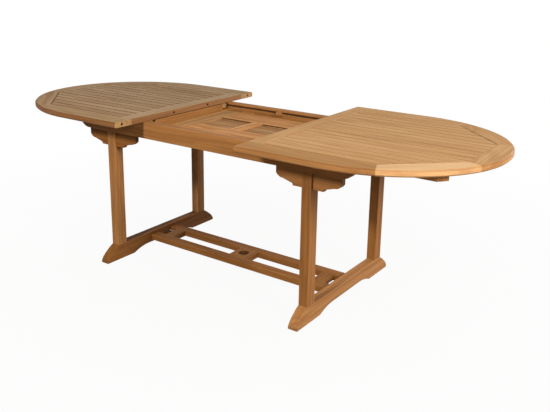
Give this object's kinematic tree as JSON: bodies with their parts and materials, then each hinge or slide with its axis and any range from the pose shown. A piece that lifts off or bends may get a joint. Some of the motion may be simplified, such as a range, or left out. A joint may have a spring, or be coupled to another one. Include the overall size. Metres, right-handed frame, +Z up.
{
  "type": "extending oval table",
  "caption": "Oval slatted hardwood dining table on a trestle base; its split top slides open over a stored folding leaf.",
  "frame": {"origin": "on the floor under the middle of the table as drawn open", "axes": "+X along the table's length, +Y to the back where the stored leaf is hinged, +Z up"},
  "size_m": [2.43, 1, 0.75],
  "materials": {
    "base_timber": "oiled and weathered hardwood, satin, fine grain along each board",
    "left_top_timber": "oiled and weathered hardwood, satin, fine grain along each board",
    "right_top_timber": "oiled and weathered hardwood, satin, fine grain along each board",
    "leaf_timber": "oiled and weathered hardwood, satin, fine grain along each board",
    "dowel_timber": "plain turned hardwood dowel",
    "bolt_steel": "dull zinc plated bolt",
    "hinge_brass": "dull brass"
  },
  "bodies": {
    "base": {"back_apron": "base_timber", "back_left_bracket": "base_timber", "back_left_post": "base_timber", "back_right_bracket": "base_timber", "back_right_post": "base_timber", "back_stretcher": "base_timber", "closing_stops": "base_timber", "front_apron": "base_timber", "front_left_bracket": "base_timber", "front_left_post": "base_timber", "front_right_bracket": "base_timber", "front_right_post": "base_timber", "front_stretcher": "base_timber", "left_foot": "base_timber", "left_leaf_bearer": "base_timber", "left_tie": "base_timber", "left_trestle_rail": "base_timber", "left_well_rail": "base_timber", "parasol_hub": "base_timber", "right_foot": "base_timber", "right_leaf_bearer": "base_timber", "right_tie": "base_timber", "right_trestle_rail": "base_timber", "right_well_rail": "base_timber", "stretcher_bolts": "bolt_steel"},
    "left_top": {"left_back_board": "left_top_timber", "left_back_corner": "left_top_timber", "left_back_runner": "left_top_timber", "left_battens": "left_top_timber", "left_end_board": "left_top_timber", "left_front_board": "left_top_timber", "left_front_corner": "left_top_timber", "left_front_runner": "left_top_timber", "left_header": "left_top_timber", "left_slats": "left_top_timber"},
    "right_top": {"right_back_board": "right_top_timber", "right_back_corner": "right_top_timber", "right_back_runner": "right_top_timber", "right_battens": "right_top_timber", "right_dowels": "dowel_timber", "right_end_board": "right_top_timber", "right_front_board": "right_top_timber", "right_front_corner": "right_top_timber", "right_front_runner": "right_top_timber", "right_header": "right_top_timber", "right_slats": "right_top_timber"},
    "leaf_lower": {"hinge_pins": "hinge_brass", "lower_leaf_battens": "leaf_timber", "lower_leaf_border": "leaf_timber", "lower_leaf_dowels": "dowel_timber", "lower_leaf_headers": "leaf_timber", "lower_leaf_hinges": "hinge_brass", "lower_leaf_slats": "leaf_timber"},
    "leaf_upper": {"upper_leaf_battens": "leaf_timber", "upper_leaf_border": "leaf_timber", "upper_leaf_dowels": "dowel_timber", "upper_leaf_headers": "leaf_timber", "upper_leaf_hinges": "hinge_brass", "upper_leaf_slats": "leaf_timber"}
  },
  "joints": [
    {"name": "left_draw", "type": "slide", "parent": "base", "child": "left_top", "axis": [1, 0, 0], "range_m": [0, 0.3245]},
    {"name": "right_draw", "type": "slide", "parent": "base", "child": "right_top", "axis": [-1, 0, 0], "range_m": [0, 0.3245]},
    {"name": "leaf_lift", "type": "slide", "parent": "base", "child": "leaf_lower", "axis": [0, 0, 1], "range_m": [0, 0.11]},
    {"name": "leaf_unfold", "type": "hinge", "parent": "leaf_lower", "child": "leaf_upper", "pos_m": [0, 0.2503, 0.6677], "axis": [-1, 0, 0], "range_deg": [0, 180]}
  ],
  "couplings": [
    {"joint": "leaf_unfold", "follows": "leaf_lift", "rad_per_m": 28.55}
  ]
}
